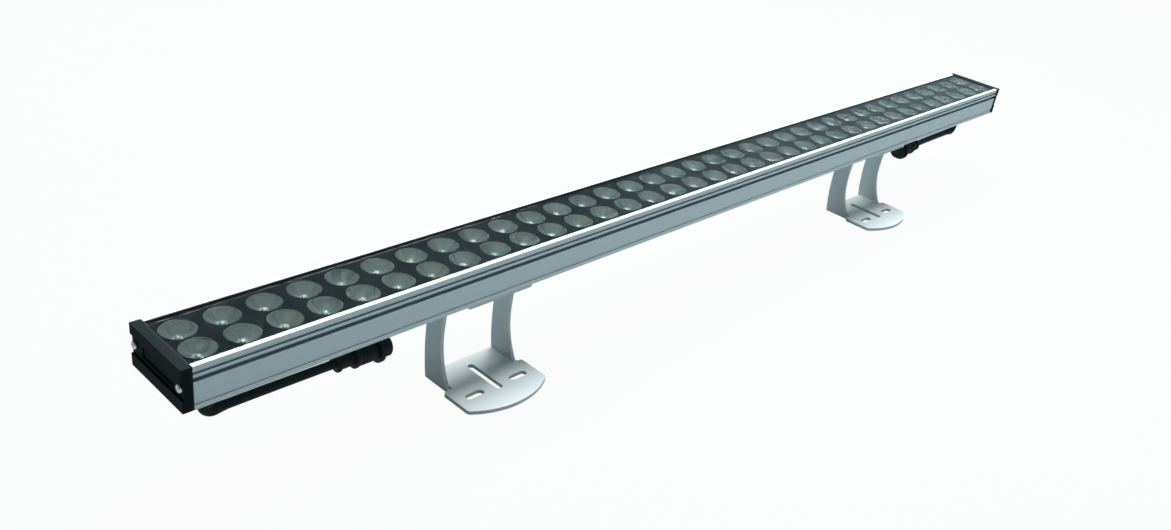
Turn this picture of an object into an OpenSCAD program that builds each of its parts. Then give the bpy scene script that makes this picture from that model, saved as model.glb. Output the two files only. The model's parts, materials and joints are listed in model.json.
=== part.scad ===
// Outdoor linear wall washer: an extruded aluminium light bar with two rows of lenses,
// held on two bent plate brackets. X runs along the bar, Y away from the side that
// the cable plates point to, Z up. The origin is on the ground between the brackets,
// at the middle of the object's footprint.

/* [Light bar] */
// Width of the extrusion
body_w = 59; // [57:0.5:70]
// Height of the extrusion
body_h = 28.7; // [27.5:0.1:34]
// Thickness of the walls and of the underside
wall_t = 2.2; // [1.8:0.1:2.6]
// Width of each bright lip beside the glass
lip_w = 3.3; // [2.6:0.1:3.8]
// Thickness of the floor that carries the boards
floor_t = 2.5; // [2:0.1:3.2]
// Height of the wiring space under the floor
duct_h = 5.3; // [5.2:0.1:6.4]
// Thickness of the wall between the wiring space and each rail
duct_wall = 1.7; // [1.2:0.1:2.4]

/* [Side grooves] */
// Height of the plain edge at the top of each side
edge_h = 2.1; // [1.6:0.1:2.4]
// Depth of the rounded cove under that edge
cove_d = 1.6; // [0.8:0.1:1.8]
// Height of the rounded cove
cove_h = 3.6; // [3:0.1:3.8]
// Height of the rib between cove and groove
rib_h = 1.8; // [1.4:0.1:2.2]
// Depth of the square groove
groove_d = 3.2; // [1:0.1:3.4]
// Height of the square groove
groove_h = 3.1; // [2:0.1:3.3]
// Height of the plain strip at the bottom of each side
strip_h = 2.8; // [2:0.1:3.4]
// Depth of the step above that strip
step_d = 0.9; // [0.4:0.1:1.2]
// Height of the slanted face above that step
slant_h = 3.4; // [2:0.1:4]

/* [Rails under the bar] */
// Distance from the bar's side to the middle of each rail
rail_in = 11.5; // [11:0.1:12]
// Width of the rail's mouth
rail_mouth_w = 6.6; // [5.6:0.1:7.4]
// Width inside the rail
rail_inner_w = 11.6; // [10.4:0.1:12.2]
// Height inside the rail
rail_inner_h = 4.4; // [3.6:0.1:5]
// Thickness of the rail's lips
rail_lip_t = 2; // [1.6:0.1:2.2]

/* [Optics] */
// Number of lenses in each row
row_count = 36; // [20:2:44]
// Distance from the rim of the last lens to the end of the extrusion
end_space = 1.9; // [1.5:0.1:8]
// Gap between one lens and the next along a row
lens_space = 5.8; // [2:0.1:8]
// Gap between the lenses of the two rows
lens_gap = 1.3; // [1:0.1:2.4]
// Gap between each lens and the lip
lens_side = 3.85; // [3.4:0.05:5]
// Diameter of each lens at its foot
lens_foot_d = 9.2; // [8:0.1:11]
// Thickness of the lens's flange
lens_flange_t = 1.2; // [0.8:0.1:1.8]
// Diameter of the hollow over the light source
lens_well_d = 6; // [5.4:0.1:7]
// Height of the hollow over the light source
lens_well_h = 3.6; // [2.4:0.1:5]
// Thickness of the cover glass
glass_t = 3; // [2:0.1:3.4]
// Depth of the glass below the lips
glass_sink = 0.4; // [0.2:0.1:0.8]
// Width of the seal between glass and lip
seal_w = 0.6; // [0.4:0.1:1]
// Thickness of the black lens panel
panel_t = 2; // [1.4:0.1:2.4]
// Gap between the circuit boards and the walls beside them
board_side = 1.45; // [0.5:0.05:3]
// Thickness of the circuit boards
board_t = 1.6; // [1:0.1:2]
// Side of each square light source
led_w = 3.5; // [2.8:0.1:3.8]
// Height of each light source's base
led_t = 0.9; // [0.6:0.1:1.2]

/* [End caps] */
// Thickness of each end cap
cap_t = 6; // [4:0.1:9]
// Thickness of the gasket behind the cap
gasket_t = 1; // [0.5:0.1:2]
// Height of the raised band along the top of the cap
cap_top_band = 7.4; // [6.5:0.1:8]
// Height of the raised band along the bottom of the cap
cap_low_band = 8.4; // [6:0.1:9]
// Depth of the field between the bands
cap_field_d = 1.2; // [0.6:0.1:1.6]
// Distance from the cap's side to the sunk panel
cap_panel_side = 12; // [9.5:0.1:16]
// Height of the sunk panel in the field
cap_panel_h = 7; // [4:0.1:8]
// Depth of the sunk panel in the field
cap_panel_d = 0.8; // [0.4:0.1:1.2]
// Distance of the cap screws from the outside of the bar
port_in = 3.5; // [3.4:0.1:3.7]
// Height of the cap screws above the underside
port_z = 15.2; // [14.8:0.1:15.4]
// Diameter of the cap screws
cap_screw_d = 3; // [2.6:0.1:3]
// Diameter of the cap screws' heads
cap_head_d = 5.5; // [4.6:0.1:6]
// Height of the cap screws' heads
cap_head_h = 1.6; // [1.2:0.1:2.4]
// Length of the cap screws under the head
cap_screw_l = 15; // [11:0.5:24]

/* [Brackets] */
// Distance from the end of the extrusion to the middle of each bracket
bracket_in = 227; // [196:1:232]
// Height of the bar's underside above the ground
stand_h = 76.6; // [72:0.1:110]
// Thickness of the bracket's plate
plate_t = 3; // [2:0.1:4]
// How far the foot stands out beside each leg
foot_shoulder = 4.2; // [2:0.1:8]
// Reach of the foot in front of the bar's middle
foot_front = 56.9; // [52:0.1:70]
// Reach of the foot behind the bar's middle
foot_back = 7.8; // [6:0.1:9]
// Radius of the foot's curved front edge
foot_front_r = 66; // [58:1:90]
// Radius of the foot's front corners
foot_corner_r = 4; // [2:0.1:8]
// Radius of the foot's rear corners
foot_rear_r = 2; // [1:0.1:2.4]
// Gap between the foot's wide part and the legs
foot_relief = 0.6; // [0.3:0.1:1.5]
// Height of the pivot below the bar's underside
pivot_drop = 11; // [10.6:0.1:14]
// Radius of the rounded top of each leg
leg_end_r = 8.6; // [7.5:0.1:9.2]
// Reach of the leg's narrow part in front of the pivot
leg_front_waist = 6.2; // [5:0.1:6.8]
// Reach of the leg's wide part behind the pivot
leg_back_waist = 10.5; // [10:0.1:10.7]
// Reach of the leg's foot in front of the pivot
leg_front_foot = 17.6; // [14:0.1:22]
// Height of the narrowest place on the front edge
front_waist_z = 38.6; // [34:0.1:42]
// Height of the widest place on the back edge
back_waist_z = 32.6; // [28:0.1:34]
// Radius of the fold between leg and foot, on its inside
fold_r = 1; // [0.5:0.1:3]
// Radius of the fold on its outside
fold_out_r = 0.8; // [0.5:0.1:2]
// Diameter of the pivot bolt
pivot_d = 6; // [5:0.1:6.4]

/* [Foot slots] */
// Width of the slots in the foot
slot_w = 5.8; // [4.4:0.1:6.6]
// Length of the two short slots, end to end
short_slot_l = 16; // [12:0.1:18]
// Distance between the middles of the short slots
short_slot_gap = 41.6; // [38:0.1:44]
// Distance of the short slots in front of the bar's middle
short_slot_y = 32.5; // [30:0.1:36]
// Length of the long slot, end to end
long_slot_l = 36; // [28:0.1:36.4]
// Distance of the long slot's middle in front of the bar's middle
long_slot_y = 19.6; // [17:0.1:21]

/* [Saddles] */
// Length of the saddle plate along the bar
saddle_l = 57; // [52:0.1:62]
// Distance from the bar's side to the saddle plate's edge
saddle_in = 1; // [0.8:0.1:4]
// Thickness of the saddle plate
saddle_t = 2; // [1.5:0.1:2.4]
// Thickness of the rubber pad on the saddle
pad_t = 0.9; // [0.6:0.1:1.2]
// Distance from the saddle's middle to its clamp screws along the bar
clamp_x = 16; // [12:0.5:18]
// Diameter of the clamp screws
clamp_d = 5; // [4:0.1:5.2]
// Diameter of the clamp screws' heads
clamp_head_d = 9; // [8:0.1:10]
// Height of the clamp screws' heads
clamp_head_h = 3; // [2.4:0.1:3.5]
// Length of each slot nut
slot_nut_l = 12; // [10:0.5:16]
// Thickness of each slot nut
slot_nut_t = 3.6; // [3:0.1:3.6]
// Thickness of the washers on the pivot bolts
washer_t = 1.6; // [1:0.1:3]
// Diameter of the washers on the pivot bolts
washer_d = 12; // [11:0.1:14]
// Width across the flats of the pivot bolt's head and nut
hex_w = 10; // [9:0.1:10.4]
// Height of the pivot bolt's head
hex_head_h = 4; // [3:0.1:4.4]
// Height of the pivot bolt's nut
hex_nut_h = 5; // [4:0.1:5.5]

/* [Cable outlets] */
// Distance of each cable gland from the end of the extrusion
gland_in = 20; // [18:0.1:24]
// Depth of the cable's run below the underside
run_drop = 28.1; // [24:0.1:32]
// Diameter of the gland's thread
gland_thread_d = 12; // [10:0.1:12.4]
// Width across the flats of the gland's hexagon
gland_hex_w = 15; // [14:0.1:17]
// Height of the gland's hexagon
gland_hex_h = 3.5; // [3:0.1:4]
// Diameter of the gland's dome
gland_dome_d = 13.4; // [12:0.1:14]
// Height of the gland's dome
gland_dome_h = 7; // [5:0.1:8]
// Width across the flats of the nut inside the bar
lock_nut_w = 15; // [14:0.1:16]
// Height of the nut inside the bar
lock_nut_h = 3; // [2:0.1:3.4]
// Diameter of the moulded strain relief
relief_d = 8; // [7:0.1:9]
// Radius of the strain relief's turn
relief_bend_r = 6; // [5.5:0.1:9]
// Length of the strain relief's tapered end
relief_tip_l = 8; // [5:0.5:12]
// Diameter of the cable
cable_d = 6.2; // [5:0.1:6.8]
// Length of the free cable
cable_run = 76; // [50:1:78]
// How far the connector's end of the cable sinks
cable_sink = 0.4; // [0:0.1:2]

/* [Connectors] */
// Diameter of the tail nut behind the connector
tail_d = 12.9; // [11:0.1:14]
// Length of the tail nut
tail_l = 2.8; // [2:0.1:5]
// Diameter of the connector's neck
neck_d = 10.8; // [9:0.1:12]
// Length of the connector's neck
neck_l = 10.6; // [6:0.1:12]
// Diameter of the connector's shell
shell_d = 15; // [14.4:0.1:15.6]
// Length of the connector's shell
shell_l = 17.8; // [12:0.1:20]
// Extra radius of the ring at the shell's back
shell_ring_r = 0.5; // [0.3:0.1:1]
// Length of the ring at the shell's back
shell_ring_l = 2; // [1:0.1:5]
// Distance from that ring to the first groove round the shell
shell_groove_at = 2.4; // [1:0.1:3]
// Distance from the first groove to the second
shell_groove_step = 2.8; // [2:0.1:4]
// Width of each groove round the shell
shell_groove_w = 0.8; // [0.4:0.1:1]
// Depth of each groove round the shell
shell_groove_d = 0.5; // [0.2:0.1:0.8]
// Diameter of the coupling collar
collar_d = 20; // [18.4:0.1:22]
// Length of the coupling collar
collar_l = 3.3; // [2.4:0.1:6]
// Diameter of the nose in front of the collar
nose_d = 15.8; // [15.2:0.1:16.4]
// Length of the inlet's nose in front of the collar
inlet_nose_l = 7.6; // [7.2:0.1:12]
// Length of the outlet's nose in front of the collar
outlet_nose_l = 6; // [5:0.1:9]
// Diameter of the hollow in the inlet's nose
nose_bore_d = 11.6; // [11:0.1:12]
// Depth of the hollow in the inlet's nose
nose_bore_h = 7; // [6:0.1:7.6]
// Diameter of each contact
pin_d = 1.4; // [1:0.1:1.6]
// Diameter of the circle that the contacts stand on
pin_ring_d = 8.4; // [8.2:0.1:8.8]

/* [Hidden] */

// clearances and overruns
cut = 1;
fit = 0.1;
slip = 0.3;
running = 0.08;
$fn = 48;

// where the bar stands
half_w = body_w / 2;
lens_d = half_w - lip_w - lens_side - lens_gap / 2;
lens_pitch = lens_d + lens_space;
row_gap = lens_d + lens_gap;
row_l = lens_pitch * (row_count - 1);
body_l = row_l + lens_d + 2 * end_space;
half_l = body_l / 2;
bracket_x = half_l - bracket_in;
bar_y = (foot_front - half_w) / 2;
pivot_z = stand_h - pivot_drop;

// heights in the bar, measured from its underside
duct_top = wall_t + duct_h;
floor_z = duct_top + floor_t;
board_z = floor_z + board_t;
glass_z = body_h - glass_sink - glass_t;
panel_top = glass_z - slip;
ledge_z = panel_top - panel_t;
glass_half = half_w - lip_w - seal_w;
lens_h = panel_top - board_z;

// widths in the bar
rail_y = half_w - rail_in;
duct_w = 2 * (rail_y - rail_inner_w / 2 - duct_wall);
nut_room_d = lock_nut_w / cos(30) + 2 * slip;

// the inside of the bar above the floor
port_r = 1.25;
port_wall = 1.8;
port_block_in = port_in + port_r + port_wall;
port_block_top = port_z + port_r + port_wall;
side_t = groove_d + wall_t;
ledge_w = 1.4;
board_w = 2 * (half_w - port_block_in - board_side);
cap_panel_w = body_w - 2 * cap_panel_side;

// widths of the brackets and saddles
legs_w = saddle_l + 2 * (washer_t + fit + plate_t);
foot_w = legs_w + 2 * foot_shoulder;
saddle_w = body_w - 2 * saddle_in;

// places in the rows
lens_places = [for (i = [0 : row_count - 1]) i * lens_pitch - row_l / 2];
panel_end_gap = 0.5;
board_end_gap = 1.5;
board_gap = 0.6;

// internal screws
board_screw_d = 3;
board_head_d = 5.4;
board_head_h = 1.8;
board_screw_room = 10;

// wires and link
wire_d = 1.8;
wire_ring_r = 1.6;
wire_hole_d = 7;
link_l = 12;
link_w = 7;
link_t = 3;
harness_d = 3.6;
harness_gap = 12;

// the connector's places along X, from the cable's end
tail_x = 0;
shell_x = tail_x + tail_l;
collar_x = shell_x + neck_l + shell_l;
nose_x = collar_x + collar_l + fit;
collar_wall_gap = 0.2;
tip_share = 0.15;

// the free cable: shares of its length and of its drop, chosen by hand,
// from the strain relief's tip to the tail nut
route_shares = [
    [0, 0], [0.06, 0], [0.13, 0.01], [0.2, 0.03], [0.27, 0.06], [0.34, 0.1], [0.41, 0.16], [0.48, 0.23],
    [0.55, 0.32], [0.62, 0.42], [0.69, 0.53], [0.76, 0.65], [0.83, 0.78], [0.9, 0.9], [0.96, 1], [1, 1]
];
cable_start = [gland_in + relief_bend_r + relief_tip_l - half_l, bar_y, stand_h - run_drop];
cable_route = [for (s = route_shares) cable_start + [s[0] * cable_run, 0, -s[1] * cable_sink]];
cable_sides = 12;
cable_end = cable_route[len(cable_route) - 1];

// how far a round edge drops at u from its middle, when it drops by sag at span
function bow(u, span, sag) = let (r = (span * span + sag * sag) / (2 * sag)) r - sqrt(r * r - u * u);
function arc(c, r, a0, a1, n) = [for (i = [0 : n]) let (a = a0 + (a1 - a0) * i / n) c + r * [cos(a), sin(a)]];
function unit(v) = v / norm(v);
function heading(p, i) = unit(p[min(i + 1, len(p) - 1)] - p[max(i - 1, 0)]);
function ring(p, i, r, n) = let (t = heading(p, i), a = unit(cross([0, 0, 1], t)), b = cross(t, a))
    [for (k = [0 : n - 1]) p[i] + r * (cos(360 * k / n) * a + sin(360 * k / n) * b)];
function flip_x(p) = [for (q = [for (i = [len(p) - 1 : -1 : 0]) p[i]]) [-q[0], q[1], q[2]]];

// a round tube along a list of points
module tube(p, d, n) {
    rings = [for (i = [0 : len(p) - 1]) each ring(p, i, d / 2, n)];
    last = (len(p) - 1) * n;
    sides = [for (i = [0 : len(p) - 2]) for (k = [0 : n - 1])
        let (a = i * n + k, b = i * n + (k + 1) % n) each [[a, b + n, b], [a, a + n, b + n]]];
    start_face = [for (k = [0 : n - 1]) k];
    end_face = [for (k = [n - 1 : -1 : 0]) last + k];
    polyhedron(rings, concat([start_face], sides, [end_face]));
}

module in_bar() { translate([0, bar_y, stand_h]) children(); }
module on_right() { mirror([1, 0, 0]) children(); }
module at_bracket(side) { translate([side * bracket_x, bar_y, 0]) children(); }
// a flat outline in Y and Z, drawn out along X
module along_x(l) { rotate([90, 0, 90]) linear_extrude(l) children(); }
// a rod along X
module rod_x(d, l) { rotate([0, 90, 0]) cylinder(d = d, h = l); }
module hex_prism(w, h) { cylinder(d = w / cos(30), h = h, $fn = 6); }

/* the light bar */

// one side of the bar's outline, from its top edge down
cove_steps = 8;
cove_z = body_h - edge_h;
rib_z = cove_z - cove_h;
groove_top = rib_z - rib_h;
groove_low = groove_top - groove_h;
cove_round_share = 0.8;
side_line = concat(
    [[half_w, body_h]],
    [for (i = [0 : cove_steps]) let (a = 90 * i / cove_steps)
        [half_w - cove_d * (1 - cos(a)), cove_z - cove_h * cove_round_share * sin(a)]],
    [[half_w - cove_d, rib_z], [half_w, rib_z], [half_w, groove_top],
     [half_w - groove_d, groove_top], [half_w - groove_d, groove_low], [half_w, groove_low],
     [half_w, strip_h + slant_h], [half_w - step_d, strip_h], [half_w, strip_h], [half_w, 0]]
);
bar_outline = concat(side_line, [for (i = [len(side_line) - 1 : -1 : 0]) [-side_line[i][0], side_line[i][1]]]);

module rail_hole(side) {
    translate([side * rail_y - rail_mouth_w / 2, -cut]) square([rail_mouth_w, rail_lip_t + 2 * cut]);
    translate([side * rail_y - rail_inner_w / 2, rail_lip_t]) square([rail_inner_w, rail_inner_h]);
}

module bar_section() {
    well_half = half_w - port_block_in;
    wide_half = half_w - side_t;
    shelf_half = half_w - lip_w - ledge_w;
    lip_half = half_w - lip_w;
    difference() {
        polygon(bar_outline);
        translate([-duct_w / 2, wall_t]) square([duct_w, duct_h]);
        translate([-well_half, floor_z]) square([2 * well_half, port_block_top - floor_z + cut]);
        translate([-min(wide_half, shelf_half), port_block_top])
            square([2 * min(wide_half, shelf_half), ledge_z - port_block_top + cut]);
        translate([-lip_half, ledge_z]) square([2 * lip_half, body_h]);
        for (side = [-1, 1]) {
            rail_hole(side);
            translate([side * (half_w - port_in), port_z]) circle(r = port_r);
        }
    }
}

module housing() {
    color([0.62, 0.68, 0.68]) in_bar() difference() {
        translate([-half_l, 0, 0]) along_x(body_l) bar_section();
        for (side = [-1, 1]) translate([side * (half_l - gland_in), 0, 0]) {
            translate([0, 0, -cut]) cylinder(d = gland_thread_d + 2 * fit, h = wall_t + 2 * cut);
            translate([0, 0, wall_t]) cylinder(d = nut_room_d, h = duct_h);
            translate([0, 0, duct_top - cut]) cylinder(d = wire_hole_d, h = floor_t + 2 * cut);
        }
        for (x = board_screw_places) translate([x, 0, duct_top - cut])
            cylinder(d = board_screw_d + 2 * fit, h = floor_t + 2 * cut);
    }
}

module cover_glass() {
    color([0.75, 0.82, 0.82, 0.35]) in_bar()
        translate([-half_l, -glass_half, glass_z]) cube([body_l, 2 * glass_half, glass_t]);
}

module glass_seals() {
    color([0.1, 0.11, 0.11]) in_bar() for (side = [-1, 1])
        translate([-half_l, side * (glass_half + seal_w / 2) - seal_w / 2, panel_top])
            cube([body_l, seal_w, glass_t + slip]);
}

module lens_panel() {
    panel_half = half_w - lip_w - fit;
    panel_l = body_l - 2 * panel_end_gap;
    color([0.13, 0.16, 0.17]) in_bar() difference() {
        translate([-panel_l / 2, -panel_half, ledge_z]) cube([panel_l, 2 * panel_half, panel_t]);
        for (x = lens_places) for (side = [-1, 1]) translate([x, side * row_gap / 2, ledge_z - cut])
            cylinder(d = lens_d + 2 * fit, h = panel_t + 2 * cut);
    }
}

module lens() {
    shoulder = lens_h - lens_flange_t;
    rim_share = 0.94;
    rotate_extrude() polygon([
        [lens_well_d / 2, 0], [lens_foot_d / 2, 0], [rim_share * lens_d / 2, shoulder],
        [lens_d / 2, shoulder], [lens_d / 2, lens_h], [0, lens_h], [0, lens_well_h],
        [lens_well_d / 2, lens_well_h]
    ]);
}

module lens_row(side) {
    color([0.55, 0.6, 0.58, 0.6]) in_bar() for (x = lens_places)
        translate([x, side * row_gap / 2, board_z]) lens();
}
module lenses_front_row() { lens_row(-1); }
module lenses_back_row() { lens_row(1); }

// the screws stand down the middle of each board, the last one clear of the cable gland
board_l = half_l - board_gap / 2 - board_end_gap;
board_screw_last = half_l - gland_in - board_screw_room;
board_screw_steps = floor(row_count / 4) - 1;
board_screw_places = [for (side = [-1, 1]) for (i = [0 : board_screw_steps])
    side * (lens_pitch + i * (board_screw_last - lens_pitch) / board_screw_steps)];

module led_board() {
    color([0.9, 0.9, 0.87]) in_bar() difference() {
        translate([-board_gap / 2 - board_l, -board_w / 2, floor_z]) cube([board_l, board_w, board_t]);
        translate([gland_in - half_l, 0, floor_z - cut]) cylinder(d = wire_hole_d, h = board_t + 2 * cut);
        for (x = board_screw_places) translate([x, 0, floor_z - cut])
            cylinder(d = board_screw_d + 2 * fit, h = board_t + 2 * cut);
    }
}
module led_board_left() { led_board(); }
module led_board_right() { on_right() led_board(); }

module leds() {
    dome_share = 0.4;
    color([0.95, 0.85, 0.45]) in_bar() for (x = lens_places) for (side = [-1, 1])
        translate([x, side * row_gap / 2, board_z]) union() {
            translate([-led_w / 2, -led_w / 2, 0]) cube([led_w, led_w, led_t]);
            cylinder(d = dome_share * led_w * 2, h = led_t + dome_share * led_w);
        }
}

module board_screws() {
    shank = floor_t + board_t;
    color([0.8, 0.81, 0.82]) in_bar() for (x = board_screw_places) translate([x, 0, board_z]) {
        translate([0, 0, -shank]) cylinder(d = board_screw_d, h = shank + board_head_h / 2);
        cylinder(d = board_head_d, h = board_head_h);
    }
}

module board_link() {
    color([0.92, 0.92, 0.9]) in_bar()
        translate([-link_l / 2, -link_w / 2, board_z]) cube([link_l, link_w, link_t]);
}

// the leads that carry the supply on from the inlet to the outlet, in the duct under the floor
module harness() {
    reach = half_l - gland_in - harness_gap;
    color([0.08, 0.09, 0.09]) in_bar() translate([-reach, 0, wall_t + harness_d / 2])
        rod_x(harness_d, 2 * reach);
}

/* end caps */

module cap_outline(shrink) {
    translate([shrink - half_w, shrink]) square([body_w - 2 * shrink, body_h - 2 * shrink]);
}

module port_holes(d, l) {
    for (side = [-1, 1]) translate([0, side * (half_w - port_in), port_z]) rod_x(d, l);
}

module end_cap() {
    outer_x = -half_l - gasket_t - cap_t;
    field_h = body_h - cap_top_band - cap_low_band;
    panel_low = cap_low_band + (field_h - cap_panel_h) / 2;
    color([0.1, 0.13, 0.14]) in_bar() difference() {
        translate([outer_x, 0, 0]) along_x(cap_t) cap_outline(0);
        translate([outer_x - cut, -half_w - cut, cap_low_band])
            cube([cut + cap_field_d, body_w + 2 * cut, field_h]);
        translate([outer_x - cut, -cap_panel_w / 2, panel_low])
            cube([cut + cap_field_d + cap_panel_d, cap_panel_w, cap_panel_h]);
        translate([outer_x - cut, 0, 0]) port_holes(cap_screw_d + 2 * fit, cap_t + 2 * cut);
    }
}
module left_end_cap() { end_cap(); }
module right_end_cap() { on_right() end_cap(); }

module cap_gasket() {
    color([0.06, 0.07, 0.07]) in_bar() difference() {
        translate([-half_l - gasket_t, 0, 0]) along_x(gasket_t) cap_outline(fit);
        translate([-half_l - gasket_t - cut, 0, 0]) port_holes(cap_screw_d + 2 * fit, gasket_t + 2 * cut);
    }
}
module left_cap_gasket() { cap_gasket(); }
module right_cap_gasket() { on_right() cap_gasket(); }

module cap_screws() {
    seat_x = -half_l - gasket_t - cap_t + cap_field_d;
    thread_l = cap_screw_l - cap_t + cap_field_d - gasket_t;
    drive_w = 0.6;
    drive_share = 0.6;
    dome_share = 0.8;
    color([0.78, 0.8, 0.81]) in_bar() for (side = [-1, 1])
        translate([0, side * (half_w - port_in), port_z]) difference() {
            union() {
                translate([seat_x, 0, 0]) rod_x(cap_screw_d, cap_screw_l - thread_l);
                translate([-half_l, 0, 0]) rod_x(2 * port_r, thread_l);
                translate([seat_x - cap_head_h, 0, 0]) rotate([0, 90, 0])
                    cylinder(d1 = dome_share * cap_head_d, d2 = cap_head_d, h = cap_head_h / 2);
                translate([seat_x - cap_head_h / 2, 0, 0]) rod_x(cap_head_d, cap_head_h / 2);
            }
            for (turn = [0, 90]) rotate([turn, 0, 0])
                translate([seat_x - cap_head_h - cut, -drive_share * cap_head_d / 2, -drive_w / 2])
                    cube([cut + cap_head_h / 2, drive_share * cap_head_d, drive_w]);
        }
}
module left_cap_screws() { cap_screws(); }
module right_cap_screws() { on_right() cap_screws(); }

/* cable outlets, drawn for the left end */

stub_h = wall_t + lock_nut_h;
relief_start = gland_hex_h + gland_dome_h;

module at_gland() { in_bar() translate([gland_in - half_l, 0, 0]) children(); }

module gland() {
    rim = gland_dome_d - relief_d;
    color([0.1, 0.12, 0.13]) at_gland() difference() {
        union() {
            cylinder(d = gland_thread_d, h = stub_h);
            translate([0, 0, -gland_hex_h]) hex_prism(gland_hex_w, gland_hex_h);
            translate([0, 0, -gland_hex_h - gland_dome_h])
                cylinder(d1 = relief_d + rim / 2, d2 = gland_dome_d, h = gland_dome_h);
        }
        translate([0, 0, -relief_start - cut]) cylinder(d = cable_d, h = relief_start + stub_h + 2 * cut);
    }
}
module inlet_gland() { gland(); }
module outlet_gland() { on_right() gland(); }

module gland_nut() {
    color([0.15, 0.16, 0.17]) at_gland() translate([0, 0, wall_t]) difference() {
        hex_prism(lock_nut_w, lock_nut_h);
        translate([0, 0, -cut]) cylinder(d = gland_thread_d + 2 * fit, h = lock_nut_h + 2 * cut);
    }
}
module inlet_gland_nut() { gland_nut(); }
module outlet_gland_nut() { on_right() gland_nut(); }

// the moulded turn, with the end of the cable that goes up through the gland
module strain_relief() {
    straight = run_drop - relief_bend_r - relief_start;
    color([0.08, 0.1, 0.1]) at_gland() {
        translate([0, 0, -relief_start - fit]) cylinder(d = cable_d - 2 * fit, h = relief_start + fit + stub_h);
        translate([0, 0, -relief_start - straight]) cylinder(d = relief_d, h = straight);
        translate([relief_bend_r, 0, -run_drop + relief_bend_r]) rotate([-90, 0, 0])
            rotate_extrude(angle = 90, start = 90) translate([relief_bend_r, 0]) circle(d = relief_d);
        translate([relief_bend_r, 0, -run_drop]) rotate([0, 90, 0])
            cylinder(d1 = relief_d, d2 = cable_d, h = relief_tip_l);
    }
}
module inlet_strain_relief() { strain_relief(); }
module outlet_strain_relief() { on_right() strain_relief(); }

module wires() {
    color([0.75, 0.2, 0.15]) at_gland() for (turn = [0 : 120 : 240]) rotate([0, 0, turn])
        translate([wire_ring_r, 0, stub_h]) cylinder(d = wire_d, h = board_z - stub_h);
}
module inlet_wires() { wires(); }
module outlet_wires() { on_right() wires(); }

module inlet_cable() { color([0.07, 0.09, 0.09]) tube(cable_route, cable_d, cable_sides); }
module outlet_cable() { color([0.07, 0.09, 0.09]) tube(flip_x(cable_route), cable_d, cable_sides); }

/* connectors, drawn for the left end from the cable's end onwards */

module at_plug() { translate(cable_end) children(); }

module tail_nut() {
    nose_share = 0.3;
    color([0.1, 0.12, 0.12]) at_plug() rotate([0, 90, 0]) {
        cylinder(d1 = cable_d + (tail_d - cable_d) / 2, d2 = tail_d, h = nose_share * tail_l);
        translate([0, 0, nose_share * tail_l]) cylinder(d = tail_d, h = (1 - nose_share) * tail_l);
    }
}
module inlet_tail_nut() { tail_nut(); }
module outlet_tail_nut() { on_right() tail_nut(); }

module shell(nose_l, bored) {
    ring_x = shell_x + neck_l;
    nose_end = nose_x + nose_l;
    tip_l = tip_share * nose_l;
    color([0.09, 0.11, 0.11]) at_plug() difference() {
        union() {
            translate([shell_x, 0, 0]) rod_x(neck_d, neck_l);
            translate([ring_x, 0, 0]) rod_x(shell_d + 2 * shell_ring_r, shell_ring_l);
            translate([ring_x, 0, 0]) rod_x(shell_d, shell_l);
            translate([collar_x, 0, 0]) rod_x(shell_d - 2 * shell_ring_r, nose_x - collar_x);
            translate([nose_x, 0, 0]) rod_x(nose_d, nose_l - tip_l);
            translate([nose_end - tip_l, 0, 0]) rotate([0, 90, 0])
                cylinder(d1 = nose_d, d2 = nose_d - 2 * tip_l, h = tip_l);
        }
        for (i = [0, 1]) translate([ring_x + shell_ring_l + shell_groove_at + i * shell_groove_step, 0, 0])
            difference() {
                rod_x(shell_d + cut, shell_groove_w);
                translate([-cut, 0, 0]) rod_x(shell_d - 2 * shell_groove_d, shell_groove_w + 2 * cut);
            }
        if (bored) translate([nose_end - nose_bore_h, 0, 0]) rod_x(nose_bore_d, nose_bore_h + cut);
        if (!bored) translate([nose_end - nose_bore_h, 0, 0]) contacts(pin_d, nose_bore_h + cut);
    }
}
module contacts(d, l) {
    for (turn = [0 : 120 : 240]) rotate([turn, 0, 0]) translate([0, 0, pin_ring_d / 2]) rod_x(d, l);
}
module inlet_shell() { shell(inlet_nose_l, true); }
module outlet_shell() { on_right() shell(outlet_nose_l, false); }

module collar() {
    groove_n = 24;
    groove_w = 1;
    groove_in = 0.4;
    color([0.07, 0.08, 0.08]) at_plug() translate([collar_x + fit / 2, 0, 0]) difference() {
        rod_x(collar_d, collar_l);
        translate([-cut, 0, 0])
            rod_x(shell_d - 2 * shell_ring_r + 2 * collar_wall_gap, collar_l + 2 * cut);
        for (i = [0 : groove_n - 1]) rotate([360 * i / groove_n, 0, 0])
            translate([-cut, -groove_w / 2, collar_d / 2 - groove_in])
                cube([collar_l + 2 * cut, groove_w, cut + groove_in]);
    }
}
module inlet_collar() { collar(); }
module outlet_collar() { on_right() collar(); }

module inlet_pins() {
    tip_back = 1;
    color([0.85, 0.7, 0.35]) at_plug()
        translate([nose_x + inlet_nose_l - nose_bore_h, 0, 0]) contacts(pin_d, nose_bore_h - tip_back);
}
// the brass sleeves inside the outlet's contact holes, set back from the face
module outlet_sockets() {
    sleeve_l = 5;
    color([0.85, 0.7, 0.35]) on_right() at_plug() translate([nose_x + outlet_nose_l - nose_bore_h, 0, 0])
        contacts(pin_d, sleeve_l);
}

/* brackets */

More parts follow.
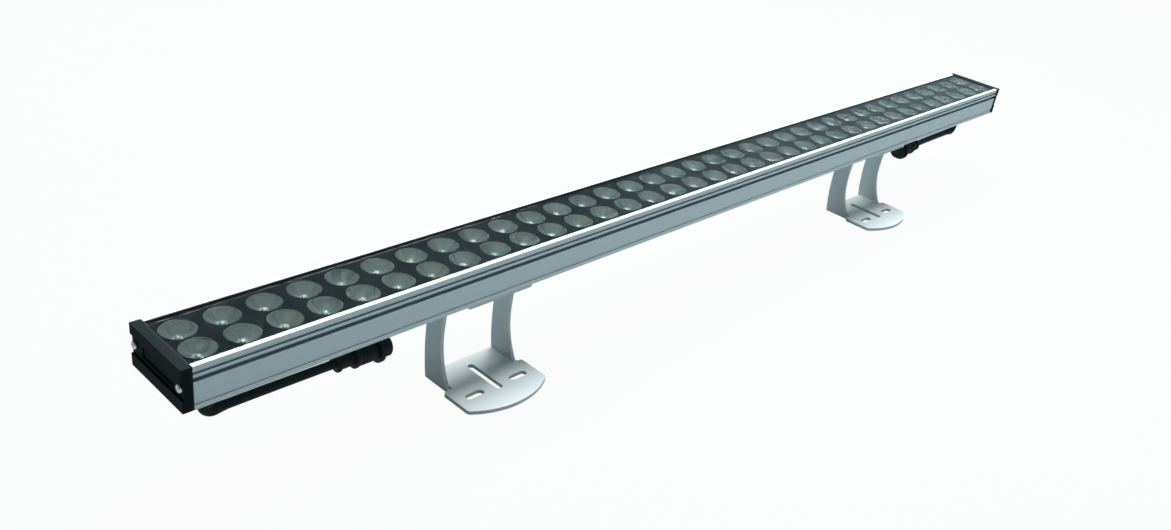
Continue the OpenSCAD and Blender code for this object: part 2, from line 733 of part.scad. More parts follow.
foot_mid = foot_front_r - foot_front;
leg_steps = 10;
leg_outline = concat(
    [for (i = [0 : leg_steps]) let (u = front_waist_z * (1 - i / leg_steps))
        [-leg_front_waist - bow(u, front_waist_z, leg_front_foot - leg_front_waist), front_waist_z - u]],
    [for (i = [1 : leg_steps]) let (s = pivot_z - front_waist_z, u = s * i / leg_steps)
        [-leg_front_waist - bow(u, s, leg_end_r - leg_front_waist), front_waist_z + u]],
    [for (a = [170 : -10 : 10]) [leg_end_r * cos(a), pivot_z + leg_end_r * sin(a)]],
    [for (i = [leg_steps : -1 : 1]) let (s = pivot_z - back_waist_z, u = s * i / leg_steps)
        [leg_back_waist - bow(u, s, leg_back_waist - leg_end_r), back_waist_z + u]],
    [for (i = [0 : leg_steps]) let (u = back_waist_z * i / leg_steps)
        [leg_back_waist - bow(u, back_waist_z, leg_back_waist - foot_back), back_waist_z - u]]
);

// the foot's wide front part: rounded corners and a curved front edge
corner_x = foot_w / 2 - foot_corner_r;
corner_y = foot_mid - sqrt(pow(foot_front_r - foot_corner_r, 2) - pow(corner_x, 2));
corner_a = atan2(corner_y - foot_mid, corner_x);
rear_y = -leg_front_foot - foot_relief;
foot_right = concat(
    arc([foot_w / 2 - foot_rear_r, rear_y - foot_rear_r], foot_rear_r, 90, 0, 6),
    arc([corner_x, corner_y], foot_corner_r, 0, corner_a, 8),
    arc([0, foot_mid], foot_front_r, corner_a, -90, 12)
);
foot_left = [for (i = [len(foot_right) - 2 : -1 : 0]) [-foot_right[i][0], foot_right[i][1]]];
foot_outline = concat(foot_right, foot_left);

module slot(l, w, h) {
    for (side = [-1, 1]) translate([side * (l - w) / 2, 0, 0]) cylinder(d = w, h = h);
    translate([-(l - w) / 2, -w / 2, 0]) cube([l - w, w, h]);
}

module bracket() {
    leg_in = legs_w / 2 - plate_t;
    difference() {
        union() {
            linear_extrude(plate_t) polygon(foot_outline);
            translate([-legs_w / 2, rear_y - foot_rear_r, 0])
                cube([legs_w, foot_back - rear_y + foot_rear_r, plate_t]);
            for (side = [-1, 1]) translate([side * (leg_in + plate_t / 2) - plate_t / 2, 0, 0])
                along_x(plate_t) polygon(leg_outline);
            for (side = [-1, 1]) scale([side, 1, 1]) translate([leg_in - fold_r, foot_back, plate_t])
                rotate([90, 0, 0]) linear_extrude(foot_back + leg_front_foot) difference() {
                    square(fold_r);
                    translate([0, fold_r]) circle(r = fold_r);
                }
        }
        for (side = [-1, 1]) scale([side, 1, 1]) translate([legs_w / 2 - fold_out_r, foot_back + cut, 0])
            rotate([90, 0, 0]) linear_extrude(foot_back + leg_front_foot + foot_relief + cut) difference() {
                translate([0, -cut]) square([fold_out_r + cut, fold_out_r + cut]);
                translate([0, fold_out_r]) circle(r = fold_out_r);
            }
        translate([-legs_w / 2 - cut, 0, pivot_z]) rod_x(pivot_d + 2 * running, legs_w + 2 * cut);
        for (side = [-1, 1]) translate([side * short_slot_gap / 2, -short_slot_y, -cut])
            slot(short_slot_l, slot_w, plate_t + 2 * cut);
        translate([0, -long_slot_y, -cut]) rotate([0, 0, 90]) slot(long_slot_l, slot_w, plate_t + 2 * cut);
    }
}
module left_bracket() { color([0.66, 0.71, 0.71]) at_bracket(-1) bracket(); }
module right_bracket() { color([0.66, 0.71, 0.71]) at_bracket(1) bracket(); }

/* saddles: the plate that clamps under the bar and carries the two pivots */

bolt_past_nut = 1.5;
plate_low = stand_h - pad_t - saddle_t;

module clamp_places() {
    for (sx = [-1, 1]) for (sy = [-1, 1]) translate([sx * clamp_x, sy * rail_y, 0]) children();
}

module saddle() {
    difference() {
        union() {
            translate([-saddle_l / 2, -saddle_w / 2, plate_low]) cube([saddle_l, saddle_w, saddle_t]);
            for (side = [-1, 1]) translate([side * (saddle_l - saddle_t) / 2 - saddle_t / 2, 0, 0]) {
                translate([0, -leg_end_r, pivot_z])
                    cube([saddle_t, 2 * leg_end_r, plate_low - pivot_z + saddle_t]);
                translate([0, 0, pivot_z]) rod_x(2 * leg_end_r, saddle_t);
            }
        }
        translate([-saddle_l / 2 - cut, 0, pivot_z]) rod_x(pivot_d + 2 * fit, saddle_l + 2 * cut);
        clamp_places() translate([0, 0, plate_low - cut])
            cylinder(d = clamp_d + 2 * fit, h = saddle_t + 2 * cut);
    }
}
module left_saddle() { color([0.7, 0.75, 0.76]) at_bracket(-1) saddle(); }
module right_saddle() { color([0.7, 0.75, 0.76]) at_bracket(1) saddle(); }

module saddle_pad() {
    difference() {
        translate([-saddle_l / 2 + fit, -saddle_w / 2 + fit, plate_low + saddle_t])
            cube([saddle_l - 2 * fit, saddle_w - 2 * fit, pad_t]);
        clamp_places() translate([0, 0, plate_low]) cylinder(d = clamp_d + 2 * fit, h = saddle_t + pad_t + cut);
    }
}
module left_saddle_pad() { color([0.08, 0.09, 0.09]) at_bracket(-1) saddle_pad(); }
module right_saddle_pad() { color([0.08, 0.09, 0.09]) at_bracket(1) saddle_pad(); }

module slot_nuts() {
    nut_w = rail_inner_w - 2 * slip;
    low = stand_h + rail_lip_t + fit;
    clamp_places() difference() {
        translate([-slot_nut_l / 2, -nut_w / 2, low]) cube([slot_nut_l, nut_w, slot_nut_t]);
        translate([0, 0, low - cut]) cylinder(d = clamp_d, h = slot_nut_t + 2 * cut);
    }
}
module left_slot_nuts() { color([0.75, 0.76, 0.74]) at_bracket(-1) slot_nuts(); }
module right_slot_nuts() { color([0.75, 0.76, 0.74]) at_bracket(1) slot_nuts(); }

module clamp_screws() {
    socket_share = 0.5;
    reach = pad_t + saddle_t + rail_lip_t + fit + slot_nut_t;
    clamp_places() difference() {
        union() {
            translate([0, 0, plate_low]) cylinder(d = clamp_d, h = reach);
            translate([0, 0, plate_low - clamp_head_h]) cylinder(d = clamp_head_d, h = clamp_head_h);
        }
        translate([0, 0, plate_low - clamp_head_h - cut])
            hex_prism(socket_share * clamp_head_d, cut + clamp_head_h * socket_share);
    }
}
module left_clamp_screws() { color([0.75, 0.77, 0.78]) at_bracket(-1) clamp_screws(); }
module right_clamp_screws() { color([0.75, 0.77, 0.78]) at_bracket(1) clamp_screws(); }

module pivot_bolts() {
    in_x = saddle_l / 2 - saddle_t - hex_nut_h - bolt_past_nut;
    out_x = legs_w / 2 + fit;
    for (side = [-1, 1]) scale([side, 1, 1]) translate([0, 0, pivot_z]) {
        translate([in_x, 0, 0]) rod_x(pivot_d, out_x - in_x);
        translate([out_x, 0, 0]) rotate([0, 90, 0]) hex_prism(hex_w, hex_head_h);
    }
}
module left_pivot_bolts() { color([0.72, 0.74, 0.75]) at_bracket(-1) pivot_bolts(); }
module right_pivot_bolts() { color([0.72, 0.74, 0.75]) at_bracket(1) pivot_bolts(); }

module pivot_nuts() {
    in_x = saddle_l / 2 - saddle_t - hex_nut_h;
    for (side = [-1, 1]) scale([side, 1, 1]) translate([in_x, 0, pivot_z]) rotate([0, 90, 0]) difference() {
        hex_prism(hex_w, hex_nut_h);
        translate([0, 0, -cut]) cylinder(d = pivot_d, h = hex_nut_h + 2 * cut);
    }
}
module left_pivot_nuts() { color([0.72, 0.74, 0.75]) at_bracket(-1) pivot_nuts(); }
module right_pivot_nuts() { color([0.72, 0.74, 0.75]) at_bracket(1) pivot_nuts(); }

module pivot_washers() {
    thick = legs_w / 2 - plate_t - saddle_l / 2 - fit;
    for (side = [-1, 1]) scale([side, 1, 1]) translate([saddle_l / 2, 0, pivot_z]) difference() {
        rod_x(washer_d, thick);
        translate([-cut, 0, 0]) rod_x(pivot_d, thick + 2 * cut);
    }
}
module left_pivot_washers() { color([0.78, 0.8, 0.8]) at_bracket(-1) pivot_washers(); }
module right_pivot_washers() { color([0.78, 0.8, 0.8]) at_bracket(1) pivot_washers(); }

housing();
cover_glass();
glass_seals();
lens_panel();
lenses_front_row();
lenses_back_row();
led_board_left();
led_board_right();
leds();
board_screws();
board_link();
harness();
left_end_cap();
right_end_cap();
left_cap_gasket();
right_cap_gasket();
left_cap_screws();
right_cap_screws();
inlet_gland();
outlet_gland();
inlet_gland_nut();
outlet_gland_nut();
inlet_strain_relief();
outlet_strain_relief();
inlet_wires();
outlet_wires();
inlet_cable();
outlet_cable();
inlet_tail_nut();
outlet_tail_nut();
inlet_shell();
outlet_shell();
inlet_collar();
outlet_collar();
inlet_pins();
outlet_sockets();
left_bracket();
right_bracket();
left_saddle();
right_saddle();
left_saddle_pad();
right_saddle_pad();
left_slot_nuts();
right_slot_nuts();
left_clamp_screws();
right_clamp_screws();
left_pivot_bolts();
right_pivot_bolts();
left_pivot_nuts();
right_pivot_nuts();
left_pivot_washers();
right_pivot_washers();
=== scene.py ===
import json
import math

import bpy
from mathutils import Matrix, Quaternion, Vector

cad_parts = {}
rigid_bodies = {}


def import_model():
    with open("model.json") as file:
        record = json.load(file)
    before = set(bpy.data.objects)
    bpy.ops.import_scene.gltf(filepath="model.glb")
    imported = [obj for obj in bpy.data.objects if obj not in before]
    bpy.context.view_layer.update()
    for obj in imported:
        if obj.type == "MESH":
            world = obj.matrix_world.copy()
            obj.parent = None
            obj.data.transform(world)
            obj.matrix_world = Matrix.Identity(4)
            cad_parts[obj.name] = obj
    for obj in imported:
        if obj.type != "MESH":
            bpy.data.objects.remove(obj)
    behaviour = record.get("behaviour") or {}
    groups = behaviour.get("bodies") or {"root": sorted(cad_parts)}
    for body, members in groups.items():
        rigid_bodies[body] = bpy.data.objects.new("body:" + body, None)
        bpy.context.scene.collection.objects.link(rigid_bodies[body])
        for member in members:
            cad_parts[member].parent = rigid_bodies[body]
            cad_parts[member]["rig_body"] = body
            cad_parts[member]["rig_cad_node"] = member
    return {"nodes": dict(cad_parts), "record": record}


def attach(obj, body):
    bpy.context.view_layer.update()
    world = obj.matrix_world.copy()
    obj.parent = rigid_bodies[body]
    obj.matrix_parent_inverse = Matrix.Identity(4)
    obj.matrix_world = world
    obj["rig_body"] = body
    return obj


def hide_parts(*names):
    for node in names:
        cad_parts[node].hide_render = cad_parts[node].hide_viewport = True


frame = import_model()
nodes = frame["nodes"]
bpy.ops.object.select_all(action="DESELECT")
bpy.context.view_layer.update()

# The camera's place and turn were worked out from the lens grid, the side of the bar and the feet.
camera_place = (-0.71988, -0.47365, 0.45008)
camera_turn = Vector((1.98221142, -0.746049437, 0.613722132))
cam_data = bpy.data.cameras.new("camera")
cam_data.lens = 33.0
cam_data.sensor_width = 36.0
cam_data.clip_start = 0.02
cam_data.clip_end = 20
cam = bpy.data.objects.new("camera", cam_data)
bpy.context.scene.collection.objects.link(cam)
to_cam = Quaternion(camera_turn.normalized(), camera_turn.length).to_matrix()
axes = Matrix((to_cam[0], -to_cam[1], -to_cam[2])).transposed().to_4x4()
cam.matrix_world = Matrix.Translation(camera_place) @ axes
bpy.context.scene.camera = cam

# Free cables: each follows the tube that the CAD model has for it, with the same sizes, here in metres.
bar_y = 0.0137
half_l = 0.494
gland_in = 0.020
relief_bend_r = 0.006
relief_tip_l = 0.008
cable_start_x = -half_l + gland_in + relief_bend_r + relief_tip_l
cable_start_z = 0.0485
cable_run = 0.076
cable_sink = 0.0004
cable_d = 0.0062
cable_sides = 32
cable_steps = 40

# Share of the run, and the share of the sink that the cable has reached there.
sag = [(0, 0), (0.06, 0), (0.13, 0.01), (0.2, 0.03), (0.27, 0.06), (0.34, 0.1), (0.41, 0.16), (0.48, 0.23),
       (0.55, 0.32), (0.62, 0.42), (0.69, 0.53), (0.76, 0.65), (0.83, 0.78), (0.9, 0.9), (0.96, 1), (1, 1)]


def cable_route(mirrored):
    """Evenly spaced points from the strain relief's tip to the tail nut."""
    points = []
    for i in range(cable_steps + 1):
        s = i / cable_steps
        for (a, za), (b, zb) in zip(sag, sag[1:]):
            if a <= s <= b + 1e-9:
                sunk = za + (zb - za) * ((s - a) / (b - a))
                break
        x = cable_start_x + s * cable_run
        points.append((-x if mirrored else x, bar_y, cable_start_z - sunk * cable_sink))
    return points


def cable_skin(name, points):
    """A round tube along points, closed at both ends, in a mesh whose object stays at the origin."""
    verts, faces = [], []
    pts = [Vector(p) for p in points]
    for i, p in enumerate(pts):
        along = (pts[min(i + 1, len(pts) - 1)] - pts[max(i - 1, 0)]).normalized()
        a = Vector((0, 0, 1)).cross(along).normalized()
        b = along.cross(a)
        for k in range(cable_sides):
            w = 2 * math.pi * k / cable_sides
            verts.append(p + cable_d / 2 * (math.cos(w) * a + math.sin(w) * b))
    for i in range(len(pts) - 1):
        ring, ahead = i * cable_sides, (i + 1) * cable_sides
        for k in range(cable_sides):
            q = (k + 1) % cable_sides
            faces.append((ring + k, ahead + k, ahead + q, ring + q))
    last = (len(pts) - 1) * cable_sides
    faces.append(tuple(range(cable_sides - 1, -1, -1)))
    faces.append(tuple(last + k for k in range(cable_sides)))
    faces = [tuple(reversed(f)) for f in faces]
    mesh = bpy.data.meshes.new(name)
    mesh.from_pydata([tuple(v) for v in verts], [], faces)
    mesh.update()
    for f in mesh.polygons:
        f.use_smooth = len(f.vertices) == 4
    o = bpy.data.objects.new(name, mesh)
    bpy.context.scene.collection.objects.link(o)
    return o


cables = {}
for name, mirrored in (("inlet", False), ("outlet", True)):
    tube = cable_skin(name + "_cable_skin", cable_route(mirrored))
    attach(tube, "lamp")
    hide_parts(name + "_cable")
    cables[name] = tube

# Materials, all procedural in each object's own coordinates.
mats = {}


def new_mat(name):
    m = bpy.data.materials.new(name)
    m.use_nodes = True
    mats[name] = m
    return m.node_tree, m.node_tree.nodes["Principled BSDF"]


def add(t, kind, **values):
    n = t.nodes.new(kind)
    for k, v in values.items():
        setattr(n, k, v)
    return n


def noise(t, scale, stretch=(1, 1, 1), detail=3.0, rough=0.5):
    c = add(t, "ShaderNodeTexCoord")
    mp = add(t, "ShaderNodeMapping")
    mp.inputs["Scale"].default_value = stretch
    t.links.new(c.outputs["Object"], mp.inputs["Vector"])
    n = add(t, "ShaderNodeTexNoise")
    n.inputs["Scale"].default_value = scale
    n.inputs["Detail"].default_value = detail
    n.inputs["Roughness"].default_value = rough
    t.links.new(mp.outputs["Vector"], n.inputs["Vector"])
    return n.outputs["Fac"]


def ramp(t, fac, dark, light):
    """A colour from dark to light over the middle of a noise."""
    r = add(t, "ShaderNodeValToRGB")
    for stop, at, colour in zip(r.color_ramp.elements, (0.3, 0.7), (dark, light)):
        stop.position = at
        stop.color = (*colour, 1)
    t.links.new(fac, r.inputs["Fac"])
    return r.outputs["Color"]


def span(t, fac, lo, hi):
    r = add(t, "ShaderNodeMapRange")
    r.inputs["To Min"].default_value = lo
    r.inputs["To Max"].default_value = hi
    t.links.new(fac, r.inputs["Value"])
    return r.outputs["Result"]


def textured(name, colour, stray, rough, grain, metal=0.0, stretch=(1, 1, 1), bump_by=0.0, depth=0.0, gloss=0.5):
    """A finish with a fine grain, over which its colour strays by a share and its roughness and height vary."""
    t, p = new_mat(name)
    fleck = noise(t, grain, stretch, detail=6.0, rough=0.6)
    dark = tuple(c * (1 - stray) for c in colour)
    light = tuple(min(1, c * (1 + stray)) for c in colour)
    t.links.new(ramp(t, fleck, dark, light), p.inputs["Base Color"])
    t.links.new(span(t, fleck, *rough), p.inputs["Roughness"])
    p.inputs["Metallic"].default_value = metal
    p.inputs["Specular IOR Level"].default_value = gloss
    if bump_by:
        b = add(t, "ShaderNodeBump")
        b.inputs["Strength"].default_value = bump_by
        b.inputs["Distance"].default_value = depth
        t.links.new(fleck, b.inputs["Height"])
        t.links.new(b.outputs["Normal"], p.inputs["Normal"])


textured("anodised_body", (0.587, 0.676, 0.698), stray=0.03, rough=(0.34, 0.44), grain=900, metal=0.22,
         stretch=(0.02, 1, 1), bump_by=0.15, depth=0.00005)
textured("grey_bracket", (0.585, 0.65, 0.662), stray=0.03, rough=(0.42, 0.54), grain=1200, metal=0.15,
         bump_by=0.12, depth=0.00004)
textured("bright_screws", (0.78, 0.79, 0.79), stray=0.05, rough=(0.18, 0.32), grain=1500, metal=1.0,
         bump_by=0.1, depth=0.00003)
textured("black_panel", (0.003, 0.008, 0.0105), stray=0.1, rough=(0.6, 0.72), grain=2200,
         bump_by=0.2, depth=0.00005, gloss=0.05)
textured("black_cap", (0.0095, 0.0155, 0.0175), stray=0.15, rough=(0.55, 0.68), grain=2600,
         bump_by=0.2, depth=0.00006, gloss=0.04)
textured("black_plug", (0.0145, 0.021, 0.0238), stray=0.15, rough=(0.4, 0.55), grain=2600,
         bump_by=0.2, depth=0.00005, gloss=0.16)
textured("black_rubber", (0.009, 0.011, 0.012), stray=0.15, rough=(0.6, 0.75), grain=1800,
         bump_by=0.2, depth=0.00006, gloss=0.2)
textured("black_cable", (0.0145, 0.021, 0.024), stray=0.12, rough=(0.45, 0.58), grain=1600,
         stretch=(0.3, 1, 1), bump_by=0.15, depth=0.00005, gloss=0.16)
textured("white_board", (0.80, 0.80, 0.74), stray=0.03, rough=(0.3, 0.4), grain=900)
textured("yellow_led", (0.95, 0.92, 0.70), stray=0.05, rough=(0.2, 0.3), grain=900)
textured("wire_red", (0.40, 0.03, 0.02), stray=0.05, rough=(0.35, 0.45), grain=900)
textured("contact_brass", (0.80, 0.60, 0.25), stray=0.05, rough=(0.2, 0.3), grain=1500, metal=1.0,
         bump_by=0.1, depth=0.00003)

# Painted shade: the cove and the deep square groove of each side are darkened in the base colour, standing in for
# the shade that falls in these recesses, so they are darker than the faces beside them.
painted_shade_bands = ((0.09625, (0.5, 0.6, 0.63)), (0.1013, (0.58, 0.64, 0.66)))
painted_shade_reach = 0.0017
painted_shade_from, painted_shade_full = 0.0293, 0.0281
t = mats["anodised_body"].node_tree
p = t.nodes["Principled BSDF"]
place = add(t, "ShaderNodeSeparateXYZ")
t.links.new(add(t, "ShaderNodeTexCoord").outputs["Object"], place.inputs["Vector"])
from_mid = add(t, "ShaderNodeMath", operation="SUBTRACT")
from_mid.inputs[1].default_value = bar_y
t.links.new(place.outputs["Y"], from_mid.inputs[0])
inside = add(t, "ShaderNodeMath", operation="ABSOLUTE")
t.links.new(from_mid.outputs[0], inside.inputs[0])
deep = add(t, "ShaderNodeMapRange")
deep.inputs["From Min"].default_value = painted_shade_from
deep.inputs["From Max"].default_value = painted_shade_full
t.links.new(inside.outputs[0], deep.inputs["Value"])
for middle, colour in painted_shade_bands:
    level = add(t, "ShaderNodeMath", operation="COMPARE")
    level.inputs[1].default_value = middle
    level.inputs[2].default_value = painted_shade_reach
    t.links.new(place.outputs["Z"], level.inputs[0])
    in_band = add(t, "ShaderNodeMath", operation="MULTIPLY")
    t.links.new(deep.outputs["Result"], in_band.inputs[0])
    t.links.new(level.outputs[0], in_band.inputs[1])
    # Painted shade: the base colour is multiplied darker inside this band on the bar's sides.
    painted_shade_mix = add(t, "ShaderNodeMix", data_type="RGBA", blend_type="MULTIPLY")
    painted_shade_mix.inputs["B"].default_value = (*colour, 1)
    t.links.new(in_band.outputs[0], painted_shade_mix.inputs["Factor"])
    t.links.new(p.inputs["Base Color"].links[0].from_socket, painted_shade_mix.inputs["A"])
    t.links.new(painted_shade_mix.outputs["Result"], p.inputs["Base Color"])

textured("grey_holder", (0.118, 0.15, 0.165), stray=0.04, rough=(0.45, 0.6), grain=1500, bump_by=0.1, depth=0.00003)


def clear(name, tint, through, ior, rough, grain):
    """Glass or clear plastic, with slightly uneven polish."""
    t, p = new_mat(name)
    p.inputs["Base Color"].default_value = (*tint, 1)
    p.inputs["Transmission Weight"].default_value = through
    p.inputs["IOR"].default_value = ior
    t.links.new(span(t, noise(t, grain), *rough), p.inputs["Roughness"])


clear("clear_glass", (0.93, 0.97, 0.96), through=1.0, ior=1.5, rough=(0.0, 0.02), grain=40)
clear("clear_lens", (0.69, 0.82, 0.81), through=0.905, ior=1.49, rough=(0.05, 0.09), grain=300)

slots = {s["node"]: s["material_slot"] for s in frame["record"]["subparts"]}
for name, o in nodes.items():
    o.data.materials.clear()
    o.data.materials.append(mats[slots[name]])
for tube in cables.values():
    tube.data.materials.append(mats["black_cable"])


def only(o):
    """Leaves o alone selected, and active."""
    bpy.ops.object.select_all(action="DESELECT")
    o.select_set(True)
    bpy.context.view_layer.objects.active = o


def apply_all(o):
    only(o)
    for m in list(o.modifiers):
        bpy.ops.object.modifier_apply(modifier=m.name)


# CAD copies: points closer than merge_within, in metres, become one, and faces that turn by less than flat_angle, in
# degrees, become one flat face. Edges that turn by more than edge_angle are rounded in edge_steps, and those that
# turn by less than smooth_angle are shaded smooth.
merge_within = 0.000002
flat_angle = 0.6
edge_angle = 28
edge_steps = 2
smooth_angle = 42


def softened(node, width):
    """The CAD piece again, with its edges rounded as they are on the real one."""
    src = nodes[node]
    body = src["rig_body"]
    o = src.copy()
    o.data = src.data.copy()
    o.name = node + "_finished"
    o.parent = None
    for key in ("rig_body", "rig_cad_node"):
        if key in o:
            del o[key]
    bpy.context.scene.collection.objects.link(o)
    only(o)
    bpy.ops.object.mode_set(mode="EDIT")
    bpy.ops.mesh.select_all(action="SELECT")
    bpy.ops.mesh.remove_doubles(threshold=merge_within)
    bpy.ops.mesh.dissolve_limited(angle_limit=math.radians(flat_angle))
    bpy.ops.object.mode_set(mode="OBJECT")
    b = o.modifiers.new("edges", "BEVEL")
    b.width = width
    b.segments = edge_steps
    b.limit_method = "ANGLE"
    b.angle_limit = math.radians(edge_angle)
    b.use_clamp_overlap = True
    apply_all(o)
    bpy.ops.object.shade_smooth_by_angle(angle=math.radians(smooth_angle))
    w = o.modifiers.new("flat_faces", "WEIGHTED_NORMAL")
    w.keep_sharp = True
    w.weight = 100
    apply_all(o)
    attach(o, body)
    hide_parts(node)
    return o


def turned(name, profile, steps):
    """A piece turned about Z from a line of (radius, height) points."""
    bpy.ops.object.select_all(action="DESELECT")
    bpy.ops.mesh.primitive_plane_add(size=0.001)
    o = bpy.context.object
    o.name = name
    bpy.ops.object.mode_set(mode="EDIT")
    bpy.ops.mesh.select_all(action="SELECT")
    bpy.ops.mesh.merge(type="CENTER")
    r0, z0 = profile[0]
    bpy.ops.transform.translate(value=(r0, 0, z0))
    for (ra, za), (rb, zb) in zip(profile, profile[1:]):
        bpy.ops.mesh.extrude_region_move(TRANSFORM_OT_translate={"value": (rb - ra, 0, zb - za)})
    bpy.ops.mesh.select_all(action="SELECT")
    bpy.ops.mesh.spin(steps=steps, angle=2 * math.pi, center=(0, 0, 0), axis=(0, 0, 1))
    bpy.ops.mesh.select_all(action="SELECT")
    bpy.ops.mesh.remove_doubles(threshold=0.000003)
    bpy.ops.mesh.normals_make_consistent(inside=False)
    bpy.ops.object.mode_set(mode="OBJECT")
    bpy.ops.object.shade_smooth_by_angle(angle=math.radians(30))
    return o


# The grid of lenses, in metres: the boards' top lies board_h above the bar's underside.
under_z = 0.0766
board_h = 0.0116
board_z = under_z + board_h
pitch = 0.0275
lens_count = 36
first_x = -pitch * (lens_count - 1) / 2
row_y = 0.0115

# Each lens is a clear turned block with a hollow for the light source, in a grey moulded holder. Their lines are
# points of (radius, height over the board) in millimetres. The wall they share bows outwards a little.
mm = 0.001
turn_steps = 40
wall_steps = 9
foot_r, foot_z = 2.7, 1.2
wall_out, wall_up, wall_bow = 7.65, 11, 0.35
lens_wall = []
for i in range(wall_steps + 1):
    u = 1 - i / wall_steps
    lens_wall.append((foot_r + wall_out * (u + wall_bow * u * (1 - u)), foot_z + wall_up * u))
lens_face = [(0, 13.4), (3.5, 13.4), (7.2, 13.4), (10.2, 13.4), (10.72, 13.34), (10.85, 13.2), (10.85, 12.3)]
lens_hollow = [(2.5, 1.05), (1.9, 1.05), (1.8, 1.9), (1.6, 2.6), (1.1, 3.0), (0.5, 3.15), (0, 3.2)]
lens_line = lens_face + lens_wall + lens_hollow
holder_inner = [(r + 0.3, z - 0.2) for r, z in lens_wall[1:]]
holder_foot = [(3.0, 0.0), (4.6, 0.0), (4.6, 1.0)]
holder_outer = [(r + 1.1, z - 0.3) for r, z in reversed(lens_wall[1:-1])]
holder_line = holder_inner + holder_foot + holder_outer + holder_inner[:1]


def lens_row(name, line, material, y):
    """A lens-sized piece turned from its line, put under the first lens of a row and repeated along the bar."""
    o = turned(name, [(r * mm, z * mm) for r, z in line], turn_steps)
    o.data.materials.clear()
    o.data.materials.append(mats[material])
    only(o)
    bpy.ops.object.mode_set(mode="EDIT")
    bpy.ops.mesh.select_all(action="SELECT")
    bpy.ops.transform.translate(value=(first_x, bar_y + y, board_z))
    bpy.ops.object.mode_set(mode="OBJECT")
    m = o.modifiers.new("row", "ARRAY")
    m.count = lens_count
    m.use_relative_offset = False
    m.use_constant_offset = True
    m.constant_offset_displace = (pitch, 0, 0)
    apply_all(o)
    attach(o, "lamp")
    return o


for row, y in (("front", -row_y), ("back", row_y)):
    lens = lens_row("lenses_" + row + "_finished", lens_line, "clear_lens", y)
    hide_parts("lenses_" + row + "_row")
    holder = lens_row("holders_" + row, holder_line, "grey_holder", y)

# How far the edges of each CAD piece are rounded, in metres.
sides, ends = ("left_", "right_"), ("inlet_", "outlet_")
for piece, prefixes, width in (
    ("housing", ("",), 0.00022), ("bracket", sides, 0.0004), ("saddle", sides, 0.0003), ("end_cap", sides, 0.00045),
    ("cap_screws", sides, 0.00025), ("gland", ends, 0.0003), ("tail_nut", ends, 0.0004), ("shell", ends, 0.0004),
    ("collar", ends, 0.0003), ("strain_relief", ends, 0.0005), ("pivot_bolts", sides, 0.0003),
    ("pivot_nuts", sides, 0.0003), ("clamp_screws", sides, 0.0003), ("pivot_washers", sides, 0.0002),
    ("cover_glass", ("",), 0.0002),
):
    for prefix in prefixes:
        softened(prefix + piece, width)

# The studio all round: white where the camera sees it, and for the object a dim cool fill, palest a little above the
# horizon (what lies straight down is behind the floor), with a faint haze towards +X that the glass mirrors.
fill_level = 0.17
haze_level = 0.2
haze_from, haze_full = 0.68, 0.95
nadir, zenith = (0.9, 0.95, 0.95), (0.5, 0.56, 0.57)
between = ((0.2, (0.35, 0.4, 0.42)), (0.38, (0.49, 0.66, 0.73)), (0.6, (0.57, 0.8, 0.88)), (0.75, (0.4, 0.47, 0.5)))
world = bpy.data.worlds.new("studio")
bpy.context.scene.world = world
world.use_nodes = True
wt = world.node_tree
wt.nodes.clear()
out = add(wt, "ShaderNodeOutputWorld")
white = add(wt, "ShaderNodeBackground")
white.inputs["Color"].default_value = (1, 1, 1, 1)
white.inputs["Strength"].default_value = 1.0
fill = add(wt, "ShaderNodeBackground")
fill.inputs["Strength"].default_value = fill_level
way = add(wt, "ShaderNodeSeparateXYZ")
wt.links.new(add(wt, "ShaderNodeTexCoord").outputs["Generated"], way.inputs["Vector"])
up = add(wt, "ShaderNodeMapRange")
up.inputs["From Min"].default_value = -1
up.inputs["From Max"].default_value = 1
wt.links.new(way.outputs["Z"], up.inputs["Value"])
shade = add(wt, "ShaderNodeValToRGB")
stops = shade.color_ramp.elements
stops[0].position = 0.0
stops[0].color = (*nadir, 1)
stops[1].position = 1.0
stops[1].color = (*zenith, 1)
for height, colour in between:
    stops.new(height).color = (*colour, 1)
wt.links.new(up.outputs["Result"], shade.inputs["Fac"])
wt.links.new(shade.outputs["Color"], fill.inputs["Color"])
haze = add(wt, "ShaderNodeBackground")
haze.inputs["Color"].default_value = (0.72, 0.95, 1.05, 1)
side_on = add(wt, "ShaderNodeMapRange")
side_on.inputs["From Min"].default_value = haze_from
side_on.inputs["From Max"].default_value = haze_full
side_on.inputs["To Max"].default_value = haze_level
wt.links.new(way.outputs["X"], side_on.inputs["Value"])
wt.links.new(side_on.outputs["Result"], haze.inputs["Strength"])
soft = add(wt, "ShaderNodeAddShader")
wt.links.new(fill.outputs["Background"], soft.inputs[0])
wt.links.new(haze.outputs["Background"], soft.inputs[1])
mix = add(wt, "ShaderNodeMixShader")
wt.links.new(add(wt, "ShaderNodeLightPath").outputs["Is Camera Ray"], mix.inputs["Fac"])
wt.links.new(soft.outputs["Shader"], mix.inputs[1])
wt.links.new(white.outputs["Background"], mix.inputs[2])
wt.links.new(mix.outputs["Shader"], out.inputs["Surface"])

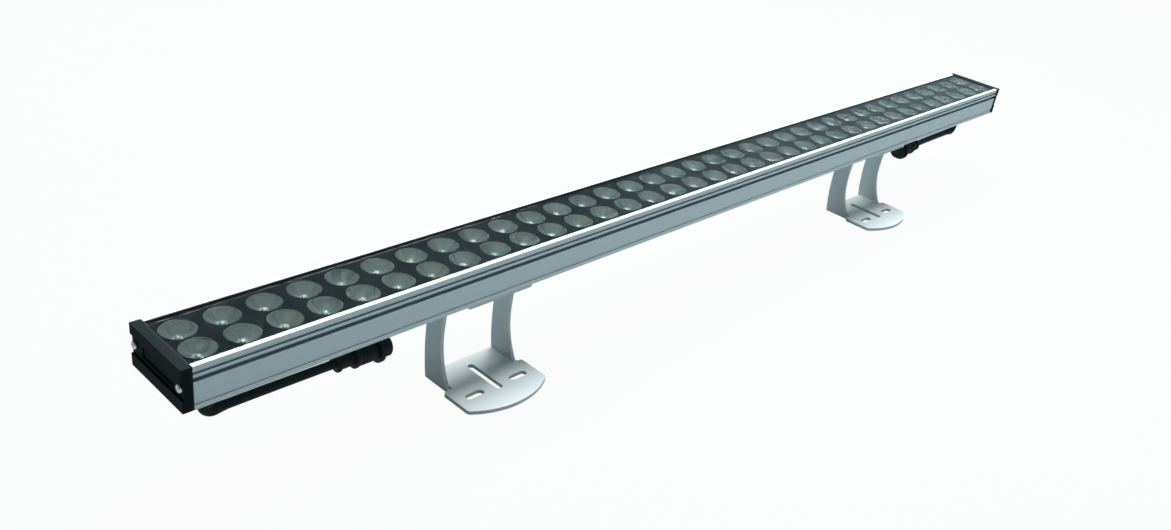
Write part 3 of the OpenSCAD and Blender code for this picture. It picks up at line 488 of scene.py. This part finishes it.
# The floor keeps the object's shadow, and shows nearly white to the camera and pale in reflections.
floor_size = 8
floor_drop = 0.0004
floor_cuts = 3
floor_grain = 3.0
camera_share = 0.95
mirror_share = 0.3
bpy.ops.object.select_all(action="DESELECT")
bpy.ops.mesh.primitive_plane_add(size=floor_size, location=(0, 0, 0))
floor = bpy.context.object
floor.name = "floor"
bpy.ops.object.mode_set(mode="EDIT")
bpy.ops.mesh.select_all(action="SELECT")
bpy.ops.transform.translate(value=(0, 0, -floor_drop))
bpy.ops.mesh.subdivide(number_cuts=floor_cuts)
bpy.ops.object.mode_set(mode="OBJECT")
ft, fp = new_mat("pale_floor")
ft.links.new(ramp(ft, noise(ft, floor_grain), (0.165, 0.215, 0.228), (0.19, 0.245, 0.26)), fp.inputs["Base Color"])
fp.inputs["Roughness"].default_value = 0.8
glow = add(ft, "ShaderNodeEmission")
glow.inputs["Color"].default_value = (1, 1, 1, 1)
rays = add(ft, "ShaderNodeLightPath")
seen = add(ft, "ShaderNodeMath", operation="MAXIMUM")
mirrored_part = add(ft, "ShaderNodeMath", operation="MULTIPLY")
mirrored_part.inputs[1].default_value = mirror_share
ft.links.new(rays.outputs["Is Glossy Ray"], mirrored_part.inputs[0])
ft.links.new(rays.outputs["Is Camera Ray"], seen.inputs[0])
ft.links.new(mirrored_part.outputs[0], seen.inputs[1])
keep = add(ft, "ShaderNodeMath", operation="MULTIPLY")
keep.inputs[1].default_value = camera_share
ft.links.new(seen.outputs[0], keep.inputs[0])
floor_mix = add(ft, "ShaderNodeMixShader")
ft.links.new(keep.outputs[0], floor_mix.inputs["Fac"])
ft.links.new(fp.outputs["BSDF"], floor_mix.inputs[1])
ft.links.new(glow.outputs["Emission"], floor_mix.inputs[2])
ft.links.new(floor_mix.outputs["Shader"], ft.nodes["Material Output"].inputs["Surface"])
floor.data.materials.append(mats["pale_floor"])


def area(name, place, aim, width, height, watts, colour=(1, 1, 1)):
    data = bpy.data.lights.new(name, "AREA")
    data.shape = "RECTANGLE"
    data.size = width
    data.size_y = height
    data.energy = watts
    data.color = colour
    o = bpy.data.objects.new(name, data)
    bpy.context.scene.collection.objects.link(o)
    o.location = place
    o.rotation_mode = "QUATERNION"
    o.rotation_quaternion = (Vector(aim) - Vector(place)).to_track_quat("-Z", "Y")
    return o


# A wide soft lamp overhead and a weak one in front. Seen from behind, the front one would show in the glass as a
# hard-edged patch, so it is kept out of reflections and out of what shows through glass.
area("overhead", (0.35, 0.35, 1.5), (0.35, 0.3, 0.1), width=1.4, height=1.3, watts=86)
front = area("front", (0.4, -1.6, 0.5), (0.2, 0, 0.08), width=2.2, height=0.8, watts=3.4, colour=(0.95, 1, 1))
front.visible_glossy = False
front.visible_transmission = False

bpy.context.scene.view_settings.view_transform = "Standard"
